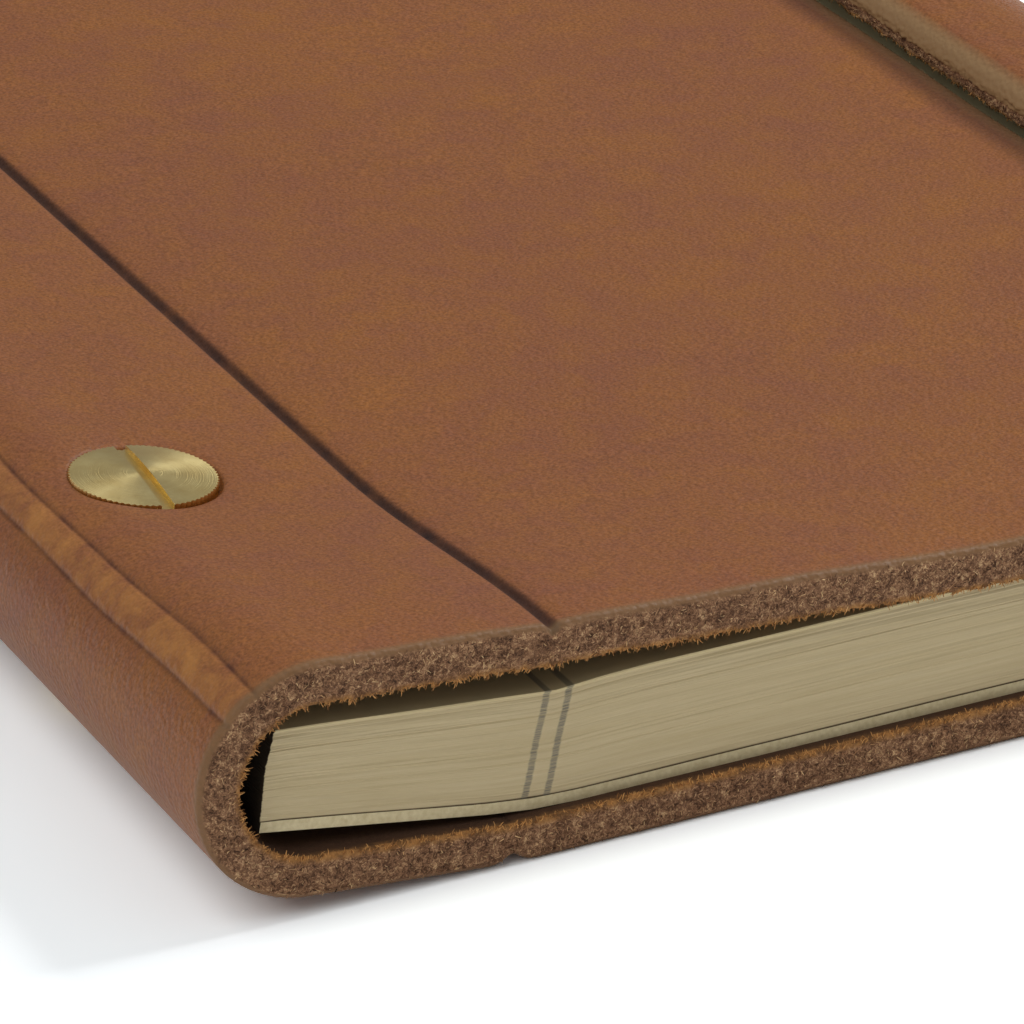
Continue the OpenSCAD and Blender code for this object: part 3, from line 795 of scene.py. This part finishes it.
def turned_brass(name, centre):
    """Solid brass, faced on a lathe and slightly tarnished: olive gold, with fine rings that fan the light"""
    material, tree, shader = new_material(name)
    p = node(tree, "ShaderNodeTexCoord", (-1400, 0)).outputs["Object"]
    local = node(tree, "ShaderNodeMapping", (-1150, 0), {"Location": tuple(-c * MM for c in centre)}, {"Vector": p})
    apart = node(tree, "ShaderNodeSeparateXYZ", (-950, 0), links={"Vector": local.outputs[0]})
    xx = node(tree, MATH, (-750, 100), links={0: apart.outputs["X"], 1: apart.outputs["X"]}, operation="MULTIPLY")
    yy = node(tree, MATH, (-750, -50), links={0: apart.outputs["Y"], 1: apart.outputs["Y"]}, operation="MULTIPLY")
    rr = node(tree, MATH, (-600, 50), links={0: xx.outputs[0], 1: yy.outputs[0]}, operation="ADD")
    radius = node(tree, MATH, (-450, 50), {1: 0.5}, {0: rr.outputs[0]}, operation="POWER")
    # Rings left by the lathe, about 0.1 mm apart
    rings = node(tree, NOISE, (-250, 50), {"Scale": 9000, "Detail": 2}, {"W": radius.outputs[0]},
                 noise_dimensions="1D")
    # Tarnish in stains 3 mm across
    stain = node(tree, NOISE, (-750, -250), {"Scale": 350, "Detail": 4, "Roughness": 0.6}, {"Vector": p})
    tone = node(tree, RAMP, (-450, -250), links={"Fac": stain.outputs["Fac"]},
                stops=((0.3, "E9CD86"), (0.7, "F4DF9E")))
    rough = node(tree, RANGE, (-200, -250), {"To Min": 0.3, "To Max": 0.42}, {"Value": stain.outputs["Fac"]})
    bump = node(tree, BUMP, (200, -200), {"Distance": 0.00003, "Strength": 0.8}, {"Height": rings.outputs["Fac"]})
    # The rings run round the head, so its sheen fans out from the middle
    turning = node(tree, "ShaderNodeTangent", (200, -450), direction_type="RADIAL", axis="Z")
    fill(tree, shader, {"Metallic": 1.0, "Anisotropic": 0.7},
         {"Base Color": tone.outputs["Color"], "Roughness": rough.outputs["Result"],
          "Normal": bump.outputs["Normal"], "Tangent": turning.outputs["Tangent"]})
    return material


# Refill

BLOCK_H = 178.0
SHEETS = 84
COLUMNS = 118
# Where the two printed margin lines meet the foot of the sheets, and how far they lean for each unit of height
MARGIN_LINES = (-41.05, -39.01)
MARGIN_LEAN = 0.2215
# Underside and top of the stack in the side view
STACK_FOOT = np.array([(-62.8, 8.53), (-43.44, 5.29), (-41.2, 5.0), (-38.9, 4.78), (-36.9, 4.65), (-35.2, 4.6),
                       (59.4, 4.6)])
STACK_TOP = np.array([(-61.75, 16.5), (-37.11, 14.2), (-33.1, 14.48), (-29.1, 14.6), (-26, 14.6), (59.4, 14.6)])


def page_stack():
    """The sheets as one stack: each layer ends a hair before or past its neighbours, as cut and screwed paper does"""
    deselect()
    bpy.ops.mesh.primitive_grid_add(x_subdivisions=COLUMNS, y_subdivisions=SHEETS, size=1,
                                    rotation=(math.radians(90), 0, 0))
    obj = bpy.context.object
    obj.name = obj.data.name = "page_stack"
    bpy.ops.object.transform_apply(rotation=True)
    bpy.ops.object.mode_set(mode="EDIT")
    bpy.ops.mesh.select_all(action="SELECT")
    bpy.ops.mesh.extrude_region_move(TRANSFORM_OT_translate={"value": (0, 1, 0)})
    pick("EDGE", lambda e: abs(e.verts[0].co.y - e.verts[1].co.y) > 0.9)
    bpy.ops.mesh.subdivide(number_cuts=9)
    bpy.ops.mesh.select_all(action="SELECT")
    bpy.ops.mesh.normals_make_consistent(inside=False)
    bpy.ops.object.mode_set(mode="OBJECT")
    co = points_of(obj)
    u, v, w = co[:, 0] + 0.5, co[:, 2] + 0.5, co[:, 1]
    uv = obj.data.uv_layers.new(name="stack")
    loops = read(obj.data.loops, "vertex_index", kind=int)
    uv.data.foreach_set("uv", np.stack([u * 12, v], axis=1)[loops].ravel())
    layer = np.rint(v * SHEETS).astype(int)
    rng = np.random.default_rng(7)
    # Columns are closer at the bound end, where the stack bends
    t = u ** 1.25

    def run(line):
        d = np.concatenate([[0], np.cumsum(np.hypot(*np.diff(line, axis=0).T))])
        return np.interp(t * d[-1], d, line[:, 0]), np.interp(t * d[-1], d, line[:, 1])

    (xf, zf), (xt, zt) = run(STACK_FOOT), run(STACK_TOP)
    x, z = xf + (xt - xf) * v, zf + (zt - zf) * v
    # The upper half of the stack was bound a little further in
    bound = np.interp(v, [0, 0.6, 1], [-0.62, -0.62, -0.22])
    step = rng.normal(0, 0.02, SHEETS + 1)
    x += np.where(u < 0.001, step[layer], 0) + bound * smooth(1 - u / 0.03)
    x += np.where(u > 0.999, rng.normal(0, 0.08, SHEETS + 1)[layer], 0)
    ends = rng.normal(0, 0.022, SHEETS + 1) + 0.05 * np.sin(np.arange(SHEETS + 1) / 9.0)
    ends[SHEETS - 1:] += 0.12
    y = (w - 0.5) * BLOCK_H
    at_end = (w < 0.001) | (w > 0.999)
    wave = 0.03 * np.sin(u * 40 + layer * 0.7)
    y += np.where(at_end, np.sign(w - 0.5) * (ends[layer] + wave), 0)
    # Sheets part by a hair here and there
    z += np.where((layer > 0) & (layer < SHEETS), 0.012 * np.sin(layer * 2.3 + u * 9), 0)
    move_points(obj, np.stack([x, y, z], axis=1) * MM)
    return obj


leather = waxed_harness_leather()
paper = uncoated_paper()
card = cream_card()

front = front_hide()
front.data.materials.append(leather)
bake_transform(front)
back = back_hide()
back.data.materials.append(leather)
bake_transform(back)
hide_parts("spine_and_back_cover", "front_cover")
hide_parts("fore_edge_flap")
fibre = leather_fibre()
front_fibres = torn_fibres("fibres_front_and_spine", front, 11)
front_fibres.data.materials.append(fibre)
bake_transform(front_fibres)
back_fibres = torn_fibres("fibres_back_and_flap", back, 12)
back_fibres.data.materials.append(fibre)
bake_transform(back_fibres)

stack = page_stack()
stack.data.materials.append(paper)
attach(stack, "back")
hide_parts("page_block")

for name in ("backing_board", "tail_post", "head_post", "tail_screw", "head_screw"):
    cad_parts[name].data.materials.clear()
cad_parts["backing_board"].data.materials.append(card)
top_face = POST_TOP + (SCREW_SEAT + HEAD_THICK) * along(90 - POST_TILT)
for name, sign in (("tail", -1), ("head", 1)):
    brass = turned_brass("turned_brass_" + name, (top_face[0], sign * POST_Y, 0))
    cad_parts[name + "_screw"].data.materials.append(brass)
    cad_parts[name + "_post"].data.materials.append(brass)


# Table and light

def floor_material():
    """Matt white studio table, which the camera sees as pure white where nothing shades it"""
    material, tree, shader = new_material("matt_white_table")
    ray = node(tree, "ShaderNodeLightPath", (-400, 0))
    direct = node(tree, MATH, (-250, 0),
                  links={0: ray.outputs["Is Camera Ray"], 1: ray.outputs["Is Glossy Ray"]}, operation="MAXIMUM")
    seen = node(tree, MIX, (-100, 0), {"A": linear("F2F2F4"), "B": (1.46, 1.53, 1.56, 1)},
                {"Factor": direct.outputs[0]}, data_type="RGBA", clamp_result=False, clamp_factor=False)
    matt = node(tree, "ShaderNodeBsdfDiffuse", (300, 0), links={"Color": seen.outputs["Result"]})
    tree.links.new(matt.outputs[0], tree.nodes["Material Output"].inputs["Surface"])
    tree.nodes.remove(shader)
    return material


# It lies a hair under the book, so that no two faces coincide
deselect()
bpy.ops.mesh.primitive_plane_add(size=6, location=(0, 0, -0.00002))
table = bpy.context.object
table.name = "table"
table.data.materials.append(floor_material())

scene = bpy.context.scene
scene.view_settings.view_transform = "Standard"
world = bpy.data.worlds.new("studio")
scene.world = world
world.use_nodes = True
tree = world.node_tree
tree.nodes.clear()
sky = node(tree, "ShaderNodeBackground", (100, 0), {"Color": (1, 1, 1, 1), "Strength": 0.27})
node(tree, "ShaderNodeOutputWorld", (400, 0), links={"Surface": sky.outputs[0]})


def aim(data, target, azimuth, elevation, distance):
    """Adds a lamp or camera that faces a target; azimuth 0 is on the +X side and 90 on the +Y side"""
    a, e = math.radians(azimuth), math.radians(elevation)
    offset = Vector((math.cos(a) * math.cos(e), math.sin(a) * math.cos(e), math.sin(e))) * distance
    made = bpy.data.objects.new(data.name, data)
    made.location = Vector(target) + offset
    made.rotation_euler = offset.to_track_quat("Z", "Y").to_euler()
    scene.collection.objects.link(made)
    return made


# Square studio lamps that face the tail half of the cover: name, side, edge in metres and power in watts
for name, side, size, power in (("key_right", (7, 42, 1.2), 0.6, 10.4), ("fill_left", (198, 54, 1.5), 1.2, 9.6)):
    lamp = bpy.data.lights.new(name, "AREA")
    lamp.shape = "SQUARE"
    lamp.size = size
    lamp.energy = power
    aim(lamp, (0, -0.03, 0.01), *side)

# A long lens from over the spine at the tail corner, fitted to the lines of the book
camera = bpy.data.cameras.new("camera")
camera.lens = 227.42
camera.sensor_width = 36
camera.clip_start = 0.05
scene.camera = aim(camera, (-0.042032, -0.0909, 0.031928), -116.926, 26.12, 0.506807)
